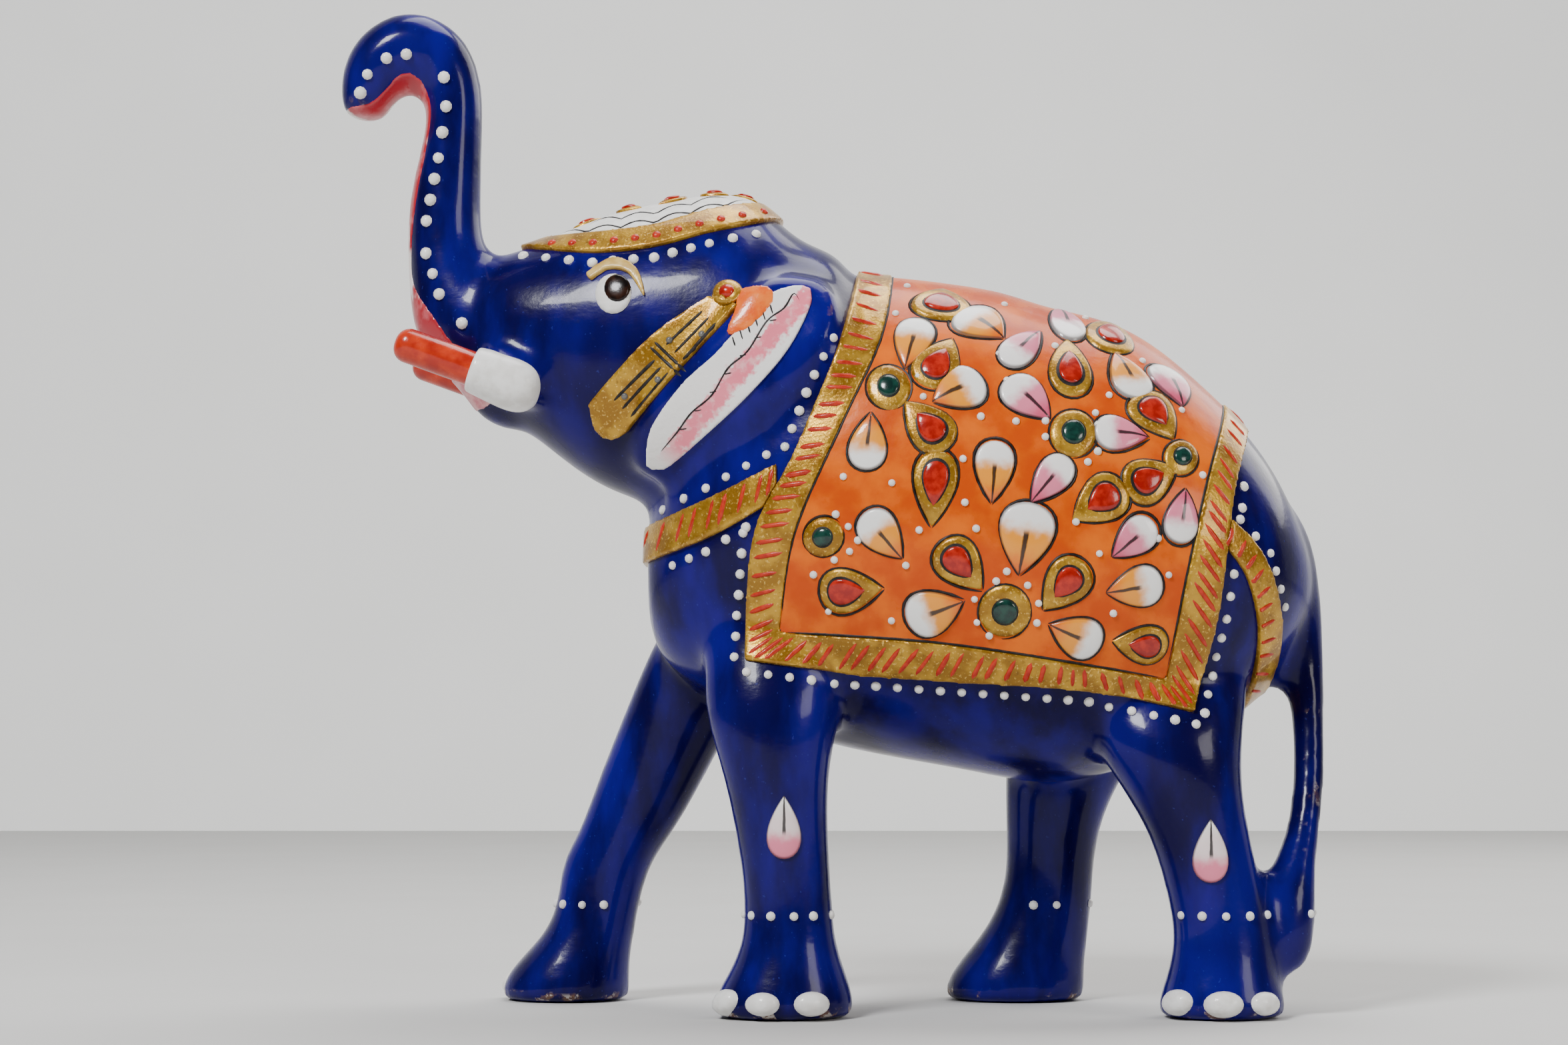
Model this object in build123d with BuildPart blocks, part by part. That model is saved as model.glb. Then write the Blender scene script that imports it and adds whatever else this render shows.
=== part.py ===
from build123d import *

import math
import os

# A carved and painted wooden elephant with its trunk raised, 152 mm tall.
#
# The wood is one carving.  Two turned pegs are glued into drilled sleeves as tusks.  Everything
# else is raised paste laid on the wood: the saddle cloth and its straps, the head cloth, ear
# panels, tassels, eyes, toenails, petals, stones and beads.
#
# +Z is up, the elephant looks along -X, and the origin is on the ground under the middle.
# Lengths are millimetres.

# Driving dimensions
leg_spread = 16.0  # from the middle plane to the middle of a leg
cloth_coat = 0.5  # thickness of the paste on the saddle and the head
strap_coat = 0.8  # thickness of the gold borders and straps
ear_stand = 2.4  # how far an ear stands off the head
tassel_rise = 1.2
brow_rise = 1.3
petal_rise = 0.6  # petals and settings above the ground they lie on
drop_point = 0.35  # radius at the point of a drop
bead_radius = 0.85
bead_rise = 0.6
bead_pitch = 3.1  # from one bead of an edge row to the next
ankle_beads_count = 11
trunk_pitch = 3.9
head_pitch = 3.2
stone_rise = 0.8
gem_long, gem_wide = 1.5, 1.1
heart_radius, button_stone = 1.25, 1.5
button_radius, button_rise = 2.7, 1.4
row_gap = 1.6  # from a border's edge to the middle of its row of beads
eye_long, eye_high, eye_rise = 2.7, 3.3, 1.0
pupil_long, pupil_high, pupil_rise = 1.7, 1.9, 1.3
nail_wide, nail_high, nail_rise = 2.8, 1.7, 1.1
peg_radius = 2.6
peg_shank = 6.0  # glued length inside the sleeve
peg_show = 12.5  # length that shows, tip included
sleeve_length, sleeve_sunk = 7.6, 2.6  # outside and inside the cheek
sleeve_mouth, sleeve_bulb = 3.2, 3.9  # radii
flap_depth = 12.0  # how far in towards the middle plane an ear or a tassel is cut
ring_reach = 11.5  # from the middle of a leg to clear of its foot
outside = 80.0  # well clear of the object on either side
sky = 135.0  # above the back and the head
SIDES = {"left": -1, "right": 1}

# Sections: (x, height of the middle, half height, half width), square to X
TORSO = [
    (-27.5, 66.5, 7.0, 7.5),
    (-25.0, 66.0, 13.5, 12.5),
    (-20.0, 70.0, 21.5, 17.5),
    (-13.0, 73.5, 29.0, 21.5),
    (-4.0, 75.0, 34.0, 24.5),
    (6.0, 74.6, 36.1, 26.6),
    (17.0, 73.1, 36.6, 27.8),
    (28.0, 71.0, 36.6, 28.1),
    (39.0, 69.6, 35.0, 27.5),
    (49.0, 69.0, 31.0, 25.6),
    (57.0, 67.6, 25.6, 23.0),
    (63.0, 66.6, 20.4, 19.5),
    (68.0, 65.6, 14.0, 14.5),
    (71.0, 64.6, 8.5, 9.5),
    (72.5, 64.2, 4.0, 5.0),
]
HEAD = [
    (-53.5, 101.0, 8.6, 8.0),
    (-50.0, 101.8, 12.4, 11.5),
    (-45.0, 101.2, 14.7, 13.6),
    (-39.0, 100.0, 18.2, 15.4),
    (-32.0, 99.3, 21.4, 17.2),
    (-25.0, 99.0, 23.2, 18.4),
    (-18.0, 98.4, 24.9, 19.6),
    (-11.0, 95.0, 27.0, 20.9),
    (-4.0, 89.4, 27.0, 22.2),
    (4.0, 83.0, 26.2, 22.8),
]
LOWER_LIP = [
    (-54.6, 92.2, 1.0, 1.8), (-52.4, 91.4, 2.4, 3.8), (-48.4, 90.8, 3.2, 4.8), (-43.0, 92.0, 3.0, 5.0),
]
# Sections across the way that the limb grows: (x, z, angle of that way, half depth, half width)
TRUNK = [
    (-49.5, 101.0, 148, 10.6, 9.6),
    (-55.3, 105.6, 122, 8.4, 8.2),
    (-57.6, 110.6, 106, 6.8, 7.0),
    (-58.8, 117.0, 94, 5.7, 6.1),
    (-58.7, 124.0, 88, 5.3, 5.6),
    (-58.0, 130.0, 84, 4.7, 5.3),
    (-57.5, 136.0, 88, 4.3, 5.2),
    (-58.1, 141.0, 106, 4.5, 5.4),
    (-60.4, 144.8, 140, 5.2, 5.7),
    (-64.4, 146.2, 184, 5.8, 6.0),
    (-68.5, 144.0, 228, 5.5, 5.9),
    (-70.7, 140.2, 252, 4.5, 5.4),
    (-71.5, 137.0, 258, 3.5, 4.4),
    (-71.8, 135.6, 258, 1.6, 2.4),
]
# Tail and legs: (x, y, z, half length along X, half width across)
TAIL = [
    (63.5, 0.0, 79.0, 3.6, 5.0),
    (67.6, 0.0, 71.5, 5.2, 6.0),
    (70.2, -0.4, 62.5, 4.3, 4.9),
    (71.4, -1.6, 53.0, 3.3, 3.9),
    (71.9, -3.4, 45.0, 2.6, 3.2),
    (71.7, -5.6, 37.0, 2.4, 3.0),
    (70.6, -8.2, 29.0, 2.5, 3.0),
    (68.6, -10.8, 22.0, 3.3, 3.5),
    (67.0, -12.4, 15.5, 4.4, 4.2),
    (66.8, -12.8, 10.0, 4.0, 3.9),
    (66.8, -12.8, 6.4, 2.0, 2.2),
]
LEFT, RIGHT = -leg_spread, leg_spread
LEGS = {
    "front_left": [
        (-7.0, LEFT, 0.0, 10.2, 8.6),
        (-6.9, LEFT, 3.2, 10.0, 8.5),
        (-6.5, LEFT, 7.0, 8.4, 7.4),
        (-6.3, LEFT, 11.0, 7.0, 6.5),
        (-6.4, LEFT, 17.0, 6.5, 6.1),
        (-7.2, LEFT, 26.0, 6.8, 6.4),
        (-8.2, LEFT, 36.0, 8.0, 7.2),
        (-8.6, LEFT + 1.0, 46.0, 10.0, 7.8),
        (-8.0, LEFT + 4.4, 56.0, 11.4, 8.0),
        (-6.0, LEFT + 9.5, 66.0, 11.0, 6.6),
    ],
    "front_right": [
        (-41.0, RIGHT, 0.0, 10.0, 8.4),
        (-40.8, RIGHT, 3.0, 9.7, 8.3),
        (-39.4, RIGHT, 6.6, 8.5, 7.4),
        (-37.4, RIGHT, 10.5, 7.1, 6.5),
        (-35.6, RIGHT, 17.0, 6.6, 6.1),
        (-32.4, RIGHT, 25.0, 7.3, 6.4),
        (-28.4, RIGHT, 33.0, 8.1, 7.1),
        (-24.2, RIGHT - 0.8, 42.0, 8.8, 7.6),
        (-18.6, RIGHT - 3.4, 52.0, 10.2, 7.8),
        (-12.0, RIGHT - 8.0, 62.0, 11.0, 7.0),
        (-8.0, RIGHT - 12.0, 70.0, 10.0, 5.0),
    ],
    "rear_left": [
        (57.0, LEFT, 0.0, 9.2, 8.4),
        (57.0, LEFT, 3.2, 9.0, 8.3),
        (57.0, LEFT, 7.0, 7.8, 7.2),
        (57.0, LEFT, 11.5, 7.1, 6.5),
        (56.0, LEFT, 18.0, 7.0, 6.3),
        (54.0, LEFT, 26.0, 7.4, 6.7),
        (51.2, LEFT, 34.0, 9.0, 7.8),
        (49.4, LEFT + 1.4, 43.0, 11.4, 8.0),
        (48.4, LEFT + 5.4, 53.0, 12.4, 8.0),
        (46.0, LEFT + 10.5, 62.0, 11.0, 6.0),
    ],
    "rear_right": [
        (29.0, RIGHT, 0.0, 10.8, 8.4),
        (29.2, RIGHT, 3.2, 10.6, 8.3),
        (30.6, RIGHT, 7.0, 9.4, 7.4),
        (32.6, RIGHT, 11.5, 8.0, 6.7),
        (34.2, RIGHT, 18.0, 7.0, 6.3),
        (35.0, RIGHT, 26.0, 7.3, 6.6),
        (36.6, RIGHT, 34.0, 9.0, 7.7),
        (39.4, RIGHT - 1.4, 43.0, 11.2, 8.0),
        (42.4, RIGHT - 5.4, 53.0, 12.4, 8.0),
        (44.0, RIGHT - 10.5, 62.0, 11.0, 6.0),
    ],
}

# Side outlines (x, z)
EAR = [
    (-3.0, 108.6), (-9.8, 107.6), (-17.8, 98.6), (-23.2, 93.4), (-28.4, 86.0), (-28.8, 80.4),
    (-25.6, 78.2), (-16.6, 82.2), (-8.4, 89.4), (-2.2, 97.0), (0.8, 104.2),
]
EAR_PANEL = [
    (-27.4, 81.2), (-26.6, 86.2), (-22.0, 92.4), (-16.8, 97.0), (-12.8, 101.6), (-8.8, 105.8),
    (-4.2, 107.0), (-2.9, 104.8), (-6.2, 97.6), (-11.8, 91.0), (-18.6, 85.0), (-24.6, 80.6),
]
TASSEL = [
    [(-13.4, 103.9), (-18.0, 105.6)],
    [(-18.0, 105.6), (-26.6, 99.8), (-35.8, 90.4)],
    [(-35.8, 90.4), (-34.9, 86.6), (-32.4, 85.2), (-30.1, 86.0)],
    [(-30.1, 86.0), (-23.2, 93.7), (-13.4, 103.9)],
]
TRUNK_LINING = [
    (-56.5, 99.6), (-60.0, 104.4), (-63.4, 110.0), (-63.6, 117.0), (-62.7, 124.0), (-61.4, 131.0),
    (-60.9, 137.0), (-62.6, 141.2), (-65.4, 141.8), (-68.2, 139.0), (-70.6, 137.2), (-75.5, 136.4),
    (-75.5, 133.0), (-68.6, 133.8), (-66.4, 137.4), (-63.9, 137.4), (-63.6, 131.0), (-66.0, 124.0),
    (-67.5, 112.0), (-64.5, 103.0), (-59.0, 97.8),
]
BROW = [
    (-36.4, 109.6), (-32.4, 112.0), (-28.8, 110.2), (-27.6, 105.8), (-30.2, 109.6), (-33.4, 110.2),
    (-35.6, 108.6),
]

CLOTH_FRONT = [(9.7, 112.0), (7.4, 99.7), (1.5, 86.4), (-5.4, 70.4), (-7.6, 56.2)]
CLOTH_FOOT = [(-7.6, 56.2), (15.5, 54.5), (38.2, 51.1), (48.5, 49.4)]
CLOTH_REAR = [(48.5, 49.4), (51.6, 66.0), (55.1, 79.7), (60.5, 94.0)]
BORDER_FRONT = [(4.3, 112.0), (1.0, 98.5), (-5.3, 82.5), (-11.4, 70.0), (-12.7, 52.0)]
BORDER_FOOT = [(-12.7, 52.0), (0.0, 50.4), (15.6, 49.2), (37.2, 47.6), (52.6, 44.4)]
BORDER_REAR = [(52.6, 44.4), (55.9, 58.0), (58.9, 77.6), (65.0, 91.5)]
BREAST_STRAP = [
    [(-8.0, 80.6), (-18.5, 75.6), (-32.0, 70.6)],
    [(-32.0, 70.6), (-32.0, 65.6)],
    [(-32.0, 65.6), (-18.5, 69.8), (-8.0, 75.4)],
    [(-8.0, 75.4), (-8.0, 80.6)],
]
CRUPPER_STRAP = [
    [(57.0, 73.4), (63.2, 67.0), (66.4, 56.0), (64.6, 43.0)],
    [(64.6, 43.0), (61.4, 43.0)],
    [(61.4, 43.0), (62.6, 55.0), (60.6, 63.6), (57.0, 68.6)],
    [(57.0, 68.6), (57.0, 73.4)],
]
HEAD_BAND_FOOT = [
    (-47.0, 115.0), (-36.2, 113.1), (-26.9, 113.6), (-18.7, 115.7), (-11.7, 117.4), (-5.0, 120.0),
]
HEAD_BAND_TOP = [
    (-47.0, 116.4), (-36.0, 116.3), (-27.0, 117.1), (-19.0, 119.3), (-12.0, 121.0), (-7.0, 123.0),
]

tusk_root = (-46.0, 12.6, 92.9)  # middle of the sleeve where it leaves the cheek
tusk_lift = 20.0  # degrees that a tusk rises towards its tip
EYE = (-32.0, 106.5)
PUPIL = (-31.2, 107.2)

# Drops on the saddle cloth: (x, z, heading of the point, length, width)
GEMS = [
    (16.5, 105.8, 0, 8.0, 4.6), (16.0, 95.6, 55, 7.6, 5.2), (13.6, 86.1, 135, 8.0, 5.6),
    (34.8, 95.4, 95, 7.8, 5.4), (42.0, 100.6, -40, 6.4, 4.6), (14.5, 76.7, -95, 10.0, 5.2),
    (47.5, 87.8, -45, 7.6, 5.0), (46.0, 78.6, 25, 7.4, 5.0), (38.5, 74.5, -145, 8.0, 5.4),
    (18.6, 65.5, -50, 8.0, 5.4), (2.6, 62.0, 0, 8.0, 5.4), (33.1, 62.6, -130, 8.0, 5.4),
    (44.6, 54.2, 180, 7.0, 4.2),
]
WHITE_PETALS = [
    (11.4, 98.8, -110, 7.2, 4.4), (22.2, 101.7, -20, 7.2, 4.6), (18.4, 91.0, 200, 7.2, 4.6),
    (5.4, 83.6, 80, 7.6, 4.6), (43.4, 94.3, 125, 7.4, 4.8), (23.1, 79.1, -95, 8.4, 5.0),
    (7.3, 69.9, -50, 7.8, 4.8), (27.4, 69.4, -100, 9.6, 6.6), (14.6, 59.2, 15, 7.8, 4.8),
    (35.2, 55.8, 160, 7.2, 4.2), (43.6, 62.0, 195, 7.4, 4.6),
]
PINK_PETALS = [
    (28.1, 98.3, 40, 7.0, 4.2), (35.4, 102.6, -60, 5.4, 4.0), (28.4, 90.0, -40, 7.6, 4.6),
    (50.3, 93.2, 130, 6.6, 4.0), (42.0, 84.8, -10, 7.4, 4.6), (31.2, 78.0, -130, 7.6, 4.4),
    (43.4, 69.2, -140, 7.4, 4.6), (50.8, 72.8, 85, 7.4, 3.8),
]
# Flowers: (x, z, radius)
FLOWERS = [(8.2, 91.8, 3.0), (34.9, 84.9, 3.2), (50.9, 81.6, 2.4), (-1.4, 69.7, 2.6), (24.8, 58.9, 3.4)]
LEG_DROPS = {
    "front_left": (-7.0, 27.8), "front_right": (-32.0, 27.8),
    "rear_left": (54.7, 24.4), "rear_right": (35.0, 24.4),
}
leg_drop_long, leg_drop_wide = 9.4, 5.1
# Three nails on each foot: bearings in degrees from the tail's side round to the front
nail_height = 2.6
NAIL_BEARINGS = {"front": (62, 112, 154), "rear": (50, 96, 146)}
ankle_height = 15.0
TRUNK_ROW = [
    (-58.8, 141.0), (-58.5, 136.6), (-59.6, 128.7), (-61.3, 119.0), (-61.3, 114.0), (-59.1, 107.6),
    (-55.5, 103.0),
]
TIP_ROW = [(-71.6, 138.6), (-70.4, 141.4), (-67.4, 143.8), (-64.4, 144.4)]
FIELD_BEADS = [
    (9.5, 103.5), (11.5, 108.5), (18.5, 101.5), (26.0, 105.5), (24.5, 97.0), (33.0, 98.5),
    (38.5, 104.0), (25.5, 92.8), (40.5, 90.8), (46.2, 96.6), (45.5, 90.5), (13.2, 90.3), (12.5, 93.4),
    (21.5, 87.3), (26.6, 86.6), (38.3, 88.0), (30.9, 86.7), (30.8, 84.3), (38.6, 86.2), (38.4, 82.2),
    (36.9, 80.6), (18.8, 81.0), (8.5, 77.5), (1.5, 78.5), (12.4, 70.6), (19.0, 74.6), (20.6, 70.8),
    (35.0, 71.8), (38.4, 67.2), (47.0, 69.5), (48.6, 64.2), (25.0, 64.6), (10.5, 65.5), (-2.8, 64.3),
    (-0.6, 59.0), (8.5, 57.6), (0.4, 73.0), (2.2, 71.2), (2.4, 67.6), (0.2, 66.4), (3.6, 69.2),
    (20.4, 60.6), (20.8, 57.3), (23.5, 63.2), (28.0, 62.6), (29.6, 60.0), (29.4, 57.2), (22.6, 55.4),
    (40.5, 58.6), (38.4, 77.3), (51.5, 88.9), (54.0, 79.0),
]
BUTTON = (-15.3, 106.0)


def ellipse_loft(sections, grow):
    """A solid through ellipses, each given as (plane, half depth, half width)."""
    with BuildPart() as made:
        for plane, half_depth, half_width in sections:
            with BuildSketch(plane):
                Ellipse(half_width + grow, half_depth + grow)
        loft()
    return made.part


def section_plane(centre, way):
    """A plane across the direction that lies way degrees above +X, its X axis across the object."""
    turn = math.radians(way)
    return Plane(origin=centre, x_dir=(0, 1, 0), z_dir=(math.cos(turn), 0, math.sin(turn)))


def barrel(stations, grow=0.0):
    return ellipse_loft([(section_plane((x, 0, z), 0), high, wide) for x, z, high, wide in stations], grow)


def trunk(grow=0.0):
    sections = [(section_plane((x, 0, z), way), deep, wide) for x, z, way, deep, wide in TRUNK]
    return ellipse_loft(sections, grow)


def column(stations, grow=0.0):
    """A leg or the tail, built from level sections."""
    sections = [(section_plane((x, y, z), 90), long, wide) for x, y, z, long, wide in stations]
    return ellipse_loft(sections, grow)


def side_prism(points, start, end):
    """The smooth closed outline through (x, z) points, carried from y = start to y = end."""
    with BuildPart() as made:
        with BuildSketch(Plane.XZ.offset(-start)):
            with BuildLine():
                Spline(*points, periodic=True)
            make_face()
        extrude(amount=start - end)
    return made.part


def strip_prism(edges, start=-outside, end=outside):
    """A region of the side view bounded by edges, each a list of points joined by a smooth line."""
    with BuildPart() as made:
        with BuildSketch(Plane.XZ.offset(-start)):
            with BuildLine():
                for points in edges:
                    if len(points) > 2:
                        Spline(*points)
                    else:
                        Line(*points)
            make_face()
        extrude(amount=start - end)
    return made.part


def cloth_outline(front, foot, rear):
    """The saddle's region, from its foot up to the sky."""
    top_front, top_rear = (front[0][0], sky), (rear[-1][0], sky)
    over_back = [[rear[-1], top_rear], [top_rear, top_front], [top_front, front[0]]]
    return strip_prism([front, foot, rear] + over_back)


def wood_pieces(grow=0.0):
    """Every rounded mass of the carving, each grown outwards by grow."""
    masses = [barrel(stations, grow) for stations in (TORSO, HEAD, LOWER_LIP)] + [trunk(grow)]
    return masses + [column(stations, grow) for stations in (TAIL, *LEGS.values())]


def ear_flap(outline, stand, side):
    """The part of the head's swollen side that an ear outline covers."""
    with BuildPart() as made:
        add(barrel(HEAD, stand))
        add(side_prism(outline, side * outside, side * flap_depth), mode=Mode.INTERSECT)
    return made.part


def tusk_plane(side):
    """Origin at the sleeve's root, Z along the tusk towards its tip."""
    lift = math.radians(tusk_lift)
    x, y, z = tusk_root
    return Plane(origin=(x, side * y, z), x_dir=(0, 1, 0), z_dir=(-math.cos(lift), 0, math.sin(lift)))


def tusk_sleeve(side):
    """A round boss that tapers to the mouth of the peg's hole."""
    with BuildPart() as made:
        with BuildSketch(Plane.XZ):
            with BuildLine():
                Polyline((0, -sleeve_sunk), (0, sleeve_length), (sleeve_mouth, sleeve_length))
                Spline((sleeve_mouth, sleeve_length), (sleeve_bulb, 1.0), (2.7, -2.0), (0, -sleeve_sunk))
            make_face()
        revolve(axis=Axis.Z)
    return made.part.moved(tusk_plane(side).location)


def coat_region(masses, region):
    """Paste of even thickness: the grown masses inside a region, with the wood taken away."""
    with BuildPart() as made:
        add(masses)
        add(region, mode=Mode.INTERSECT)
        add(carved_body.part, mode=Mode.SUBTRACT)
    return made.part


def drop_prism(drops, start=-outside, end=outside):
    """Drop outlines, each (x, z, heading, length, width), carried from y = start to y = end.

    A drop is round at its tail and comes to a point heading degrees above the way to +X.
    """
    with BuildPart() as made:
        for x, z, heading, length, width in drops:
            turn = math.radians(heading)
            across = Plane(origin=(x, end, z), x_dir=(math.cos(turn), 0, math.sin(turn)), z_dir=(0, -1, 0))
            with BuildSketch(across):
                with Locations((width / 2 - length / 2, 0)):
                    Circle(width / 2)
                with Locations((length / 2 - drop_point, 0)):
                    Circle(drop_point)
                make_hull()
        extrude(amount=end - start)
    return made.part


def raised(masses, ground, region):
    """Relief that stands on a ground: the masses inside a region, with the ground taken away."""
    with BuildPart() as made:
        add(masses)
        add(region, mode=Mode.INTERSECT)
        add(ground, mode=Mode.SUBTRACT)
    return made.part


def land(skin, start, aim, along):
    """The plane that lies on a skin where a line from start towards aim first meets it."""
    reach = Vector(*aim).normalized()
    hits = skin.find_intersection_points(Axis(start, reach))
    point, normal = min(hits, key=lambda hit: (hit[0] - Vector(*start)).dot(reach))
    if normal.dot(reach) > 0:
        normal = -normal
    along = Vector(*along)
    return Plane(origin=point, x_dir=along - normal * along.dot(normal), z_dir=normal)


def side_seat(skin, x, z, side, heading=0.0):
    """A plane on the left or right flank at (x, z), its X axis heading degrees above +X."""
    turn = math.radians(heading)
    return land(skin, (x, side * outside, z), (0, -side, 0), (math.cos(turn), 0, math.sin(turn)))


def ring_seat(skin, x, y, z, bearing):
    """A plane on a leg round (x, y) at height z, bearing degrees round from +X, its X axis level."""
    turn = math.radians(bearing)
    out = Vector(math.cos(turn), math.sin(turn), 0)
    return land(skin, Vector(x, y, z) + out * ring_reach, -out, (-math.sin(turn), math.cos(turn), 0))


def row(points, pitch):
    """Points evenly spaced along straight runs between (x, z) points."""
    spaced = [points[0]]
    for start, end in zip(points, points[1:]):
        steps = max(1, round(math.dist(start, end) / pitch))
        for step in range(1, steps + 1):
            share = step / steps
            spaced.append((start[0] + (end[0] - start[0]) * share, start[1] + (end[1] - start[1]) * share))
    return spaced


def shifted(points, right, up):
    return [(x + right, z + up) for x, z in points]


def dome(radius_x, radius_y, rise):
    """A flat-bottomed drop of paste, oval in plan."""
    with BuildPart() as made:
        Sphere(1.0, arc_size1=0, arc_size2=90)
        scale(by=(radius_x, radius_y, rise))
    return made.part


def scatter(shape, planes):
    """One copy of a shape on each plane."""
    with BuildPart() as made:
        with Locations(*planes):
            add(shape)
    return made.part


def write(node, shape):
    shape.label = node
    export_step(shape, f"parts/{node}.step")


os.makedirs("parts", exist_ok=True)

# The carving
with BuildPart() as carved_body:
    add(wood_pieces())
    for side in SIDES.values():
        add(ear_flap(EAR, ear_stand, side))
        add(tusk_sleeve(side))
        with BuildSketch(tusk_plane(side).offset(sleeve_length)):
            Circle(peg_radius)
        extrude(amount=-peg_shank, mode=Mode.SUBTRACT)
write("carved_body", carved_body.part)
wood_skin = carved_body.part.shell()

# The tusk pegs, a whole turned piece each: shank in the sleeve, rounded tip
for name, side in SIDES.items():
    with BuildPart() as tusk:
        with BuildSketch(tusk_plane(side).offset(sleeve_length - peg_shank)):
            Circle(peg_radius)
        extrude(amount=peg_shank + peg_show)
        fillet(tusk.edges().group_by(Axis.X)[0], peg_radius * 0.8)
    write(f"tusk_{name}", tusk.part)

# Saddle cloth, its border and the straps
back_masses = [barrel(TORSO, cloth_coat)] + [column(stations, cloth_coat) for stations in LEGS.values()]
strap_masses = [barrel(TORSO, strap_coat)] + [column(stations, strap_coat) for stations in LEGS.values()]
cloth_area = cloth_outline(CLOTH_FRONT, CLOTH_FOOT, CLOTH_REAR)
border_area = cloth_outline(BORDER_FRONT, BORDER_FOOT, BORDER_REAR)
with BuildPart() as border_ring:
    add(border_area)
    add(cloth_area, mode=Mode.SUBTRACT)
write("saddle_cloth", coat_region(back_masses, cloth_area))
write("saddle_border", coat_region(strap_masses, border_ring.part))
for node, edges in (("breast_strap", BREAST_STRAP), ("crupper_strap", CRUPPER_STRAP)):
    with BuildPart() as strap_area:
        add(strip_prism(edges))
        add(border_area, mode=Mode.SUBTRACT)
    write(node, coat_region(strap_masses, strap_area.part))

# Head cloth and head band
head_area = strip_prism([HEAD_BAND_TOP, [HEAD_BAND_TOP[-1], (0.0, sky)], [(0.0, sky), (-50.0, sky)],
                         [(-50.0, sky), HEAD_BAND_TOP[0]]])
write("head_cloth", coat_region(barrel(HEAD, cloth_coat), head_area))
band_area = strip_prism([HEAD_BAND_FOOT, [HEAD_BAND_FOOT[-1], HEAD_BAND_TOP[-1]], HEAD_BAND_TOP,
                         [HEAD_BAND_TOP[0], HEAD_BAND_FOOT[0]]])
write("head_band", coat_region(barrel(HEAD, strap_coat), band_area))

# Ear panels, tassels, eyes and brows
eye, pupil = dome(eye_long, eye_high, eye_rise), dome(pupil_long, pupil_high, pupil_rise)
for name, side in SIDES.items():
    start, end = side * outside, side * flap_depth
    panel_area = side_prism(EAR_PANEL, start, end)
    write(f"ear_panel_{name}", coat_region(barrel(HEAD, ear_stand + strap_coat), panel_area))
    tassel = coat_region(barrel(HEAD, tassel_rise), strip_prism(TASSEL, start, end))
    write(f"tassel_{name}", tassel)
    eye_seat = side_seat(wood_skin, *EYE, side)
    with BuildPart() as set_eye:
        with Locations(eye_seat):
            add(eye)
        add(carved_body.part, mode=Mode.SUBTRACT)
    write(f"eye_{name}", set_eye.part)
    with BuildPart() as set_pupil:
        with Locations(side_seat(wood_skin, *PUPIL, side)):
            add(pupil)
        add([carved_body.part, set_eye.part], mode=Mode.SUBTRACT)
    write(f"pupil_{name}", set_pupil.part)
    brow_ground = [carved_body.part, set_eye.part, set_pupil.part]
    write(f"brow_{name}", raised(barrel(HEAD, brow_rise), brow_ground, side_prism(BROW, start, end)))

# Drops on the cloth: petals, and settings that carry a stone
cloth_ground = barrel(TORSO, cloth_coat)
cloth_skin = cloth_ground.shell()
paste_level = barrel(TORSO, cloth_coat + petal_rise)
setting_skin = paste_level.shell()
for node, drops in (("white_petals", WHITE_PETALS), ("pink_petals", PINK_PETALS), ("gem_settings", GEMS)):
    write(node, raised(paste_level, cloth_ground, drop_prism(drops)))
stones = []
for x, z, heading, length, width in GEMS:
    turn = math.radians(heading)
    back = (length - width) * 0.35
    place = (x - back * math.cos(turn), z - back * math.sin(turn))
    stones += [side_seat(setting_skin, *place, side, heading) for side in SIDES.values()]
write("gem_stones", scatter(dome(gem_long, gem_wide, stone_rise), stones))

# Flowers: a gold ring with a green drop in the middle
with BuildPart() as ring_area:
    with BuildSketch(Plane.XZ):
        for x, z, radius in FLOWERS:
            with Locations((x, z)):
                Circle(radius)
                Circle(radius * 0.55, mode=Mode.SUBTRACT)
    extrude(amount=outside, both=True)
write("flower_rings", raised(paste_level, cloth_ground, ring_area.part))
hearts = [side_seat(cloth_skin, x, z, side) for x, z, radius in FLOWERS for side in SIDES.values()]
write("flower_stones", scatter(dome(heart_radius, heart_radius, stone_rise), hearts))

# Drops on the legs
leg_drops = []
for leg, (x, z) in LEG_DROPS.items():
    side = SIDES[leg.split("_")[1]]
    reach = sorted((side * leg_spread, side * outside))
    region = drop_prism([(x, z, 90, leg_drop_long, leg_drop_wide)], *reach)
    leg_drops.append(raised(column(LEGS[leg], petal_rise), carved_body.part, region))
with BuildPart() as leg_drop_set:
    add(leg_drops)
write("leg_drops", leg_drop_set.part)

# Toenails on the front and outside of each foot, and a ring of beads round each ankle
nail = dome(nail_wide, nail_high, nail_rise)
bead = dome(bead_radius, bead_radius, bead_rise)
ankle_seats = []
for leg, stations in LEGS.items():
    end, side_name = leg.split("_")
    side = SIDES[side_name]
    foot_x, foot_y = stations[0][:2]
    ankle_x, ankle_y = stations[4][:2]
    bearings = [side * bearing for bearing in NAIL_BEARINGS[end]]
    nails = [ring_seat(wood_skin, foot_x, foot_y, nail_height, bearing) for bearing in bearings]
    write(f"toenails_{leg}", scatter(nail, nails))
    bearings = [360 * (n + 0.5) / ankle_beads_count for n in range(ankle_beads_count)]
    ankle_seats += [ring_seat(wood_skin, ankle_x, ankle_y, ankle_height, bearing) for bearing in bearings]
write("ankle_beads", scatter(bead, ankle_seats))

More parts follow.
